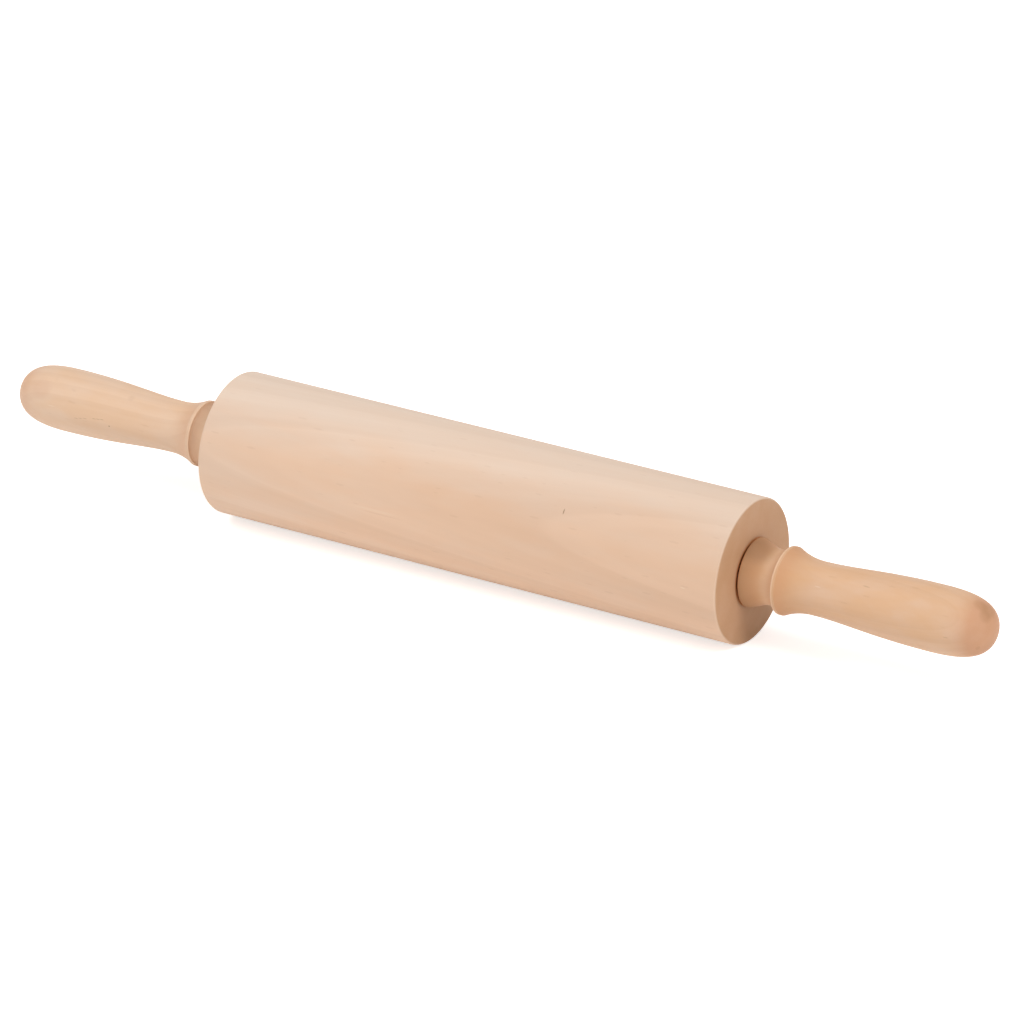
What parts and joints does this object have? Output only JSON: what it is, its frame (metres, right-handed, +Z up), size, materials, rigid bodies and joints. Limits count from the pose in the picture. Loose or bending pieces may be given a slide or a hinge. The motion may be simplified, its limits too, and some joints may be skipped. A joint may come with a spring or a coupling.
{
  "type": "rolling pin with handles",
  "caption": "Wooden rolling pin: a plain round barrel turns on a steel axle between turned handles with flared feet, raised collars and domed grips.",
  "frame": {"origin": "on the ground under the middle of the barrel", "axes": "+X along the pin towards the right handle, +Z up, the barrel resting on z = 0"},
  "size_m": [0.461, 0.06, 0.06],
  "materials": {
    "barrel_beech": "bare sanded beech, satin",
    "handle_beech": "lightly oiled beech, satin",
    "axle_steel": "drawn bar with knurled ends",
    "bearing_steel": "ground and polished",
    "shield_steel": "pressed sheet",
    "spring_steel": "blackened",
    "cup_nylon": "moulded brown nylon",
    "cage_nylon": "moulded nylon",
    "washer_nylon": "turned nylon"
  },
  "bodies": {
    "barrel": {"barrel": "barrel_beech", "left_bearing_cup": "cup_nylon", "left_outer_ring": "bearing_steel", "left_outboard_shield": "shield_steel", "left_inboard_shield": "shield_steel", "right_bearing_cup": "cup_nylon", "right_outer_ring": "bearing_steel", "right_outboard_shield": "shield_steel", "right_inboard_shield": "shield_steel"},
    "handles_and_axle": {"axle": "axle_steel", "left_handle": "handle_beech", "left_inner_ring": "bearing_steel", "left_clip": "spring_steel", "left_washer": "washer_nylon", "right_handle": "handle_beech", "right_inner_ring": "bearing_steel", "right_clip": "spring_steel", "right_washer": "washer_nylon"},
    "left_cage": {"left_cage": "cage_nylon", "left_ball_1": "bearing_steel", "left_ball_2": "bearing_steel", "left_ball_3": "bearing_steel", "left_ball_4": "bearing_steel", "left_ball_5": "bearing_steel", "left_ball_6": "bearing_steel", "left_ball_7": "bearing_steel"},
    "right_cage": {"right_cage": "cage_nylon", "right_ball_1": "bearing_steel", "right_ball_2": "bearing_steel", "right_ball_3": "bearing_steel", "right_ball_4": "bearing_steel", "right_ball_5": "bearing_steel", "right_ball_6": "bearing_steel", "right_ball_7": "bearing_steel"}
  },
  "joints": [
    {"name": "handle_spin", "type": "hinge", "parent": "barrel", "child": "handles_and_axle", "pos_m": [0, 0, 0.03], "axis": [1, 0, 0], "continuous": true},
    {"name": "left_cage_spin", "type": "hinge", "parent": "barrel", "child": "left_cage", "pos_m": [-0.11642, 0, 0.03], "axis": [1, 0, 0], "continuous": true},
    {"name": "right_cage_spin", "type": "hinge", "parent": "barrel", "child": "right_cage", "pos_m": [0.11642, 0, 0.03], "axis": [1, 0, 0], "continuous": true}
  ],
  "couplings": [
    {"joint": "left_cage_spin", "follows": "handle_spin", "ratio": 0.3674},
    {"joint": "right_cage_spin", "follows": "handle_spin", "ratio": 0.3674}
  ]
}
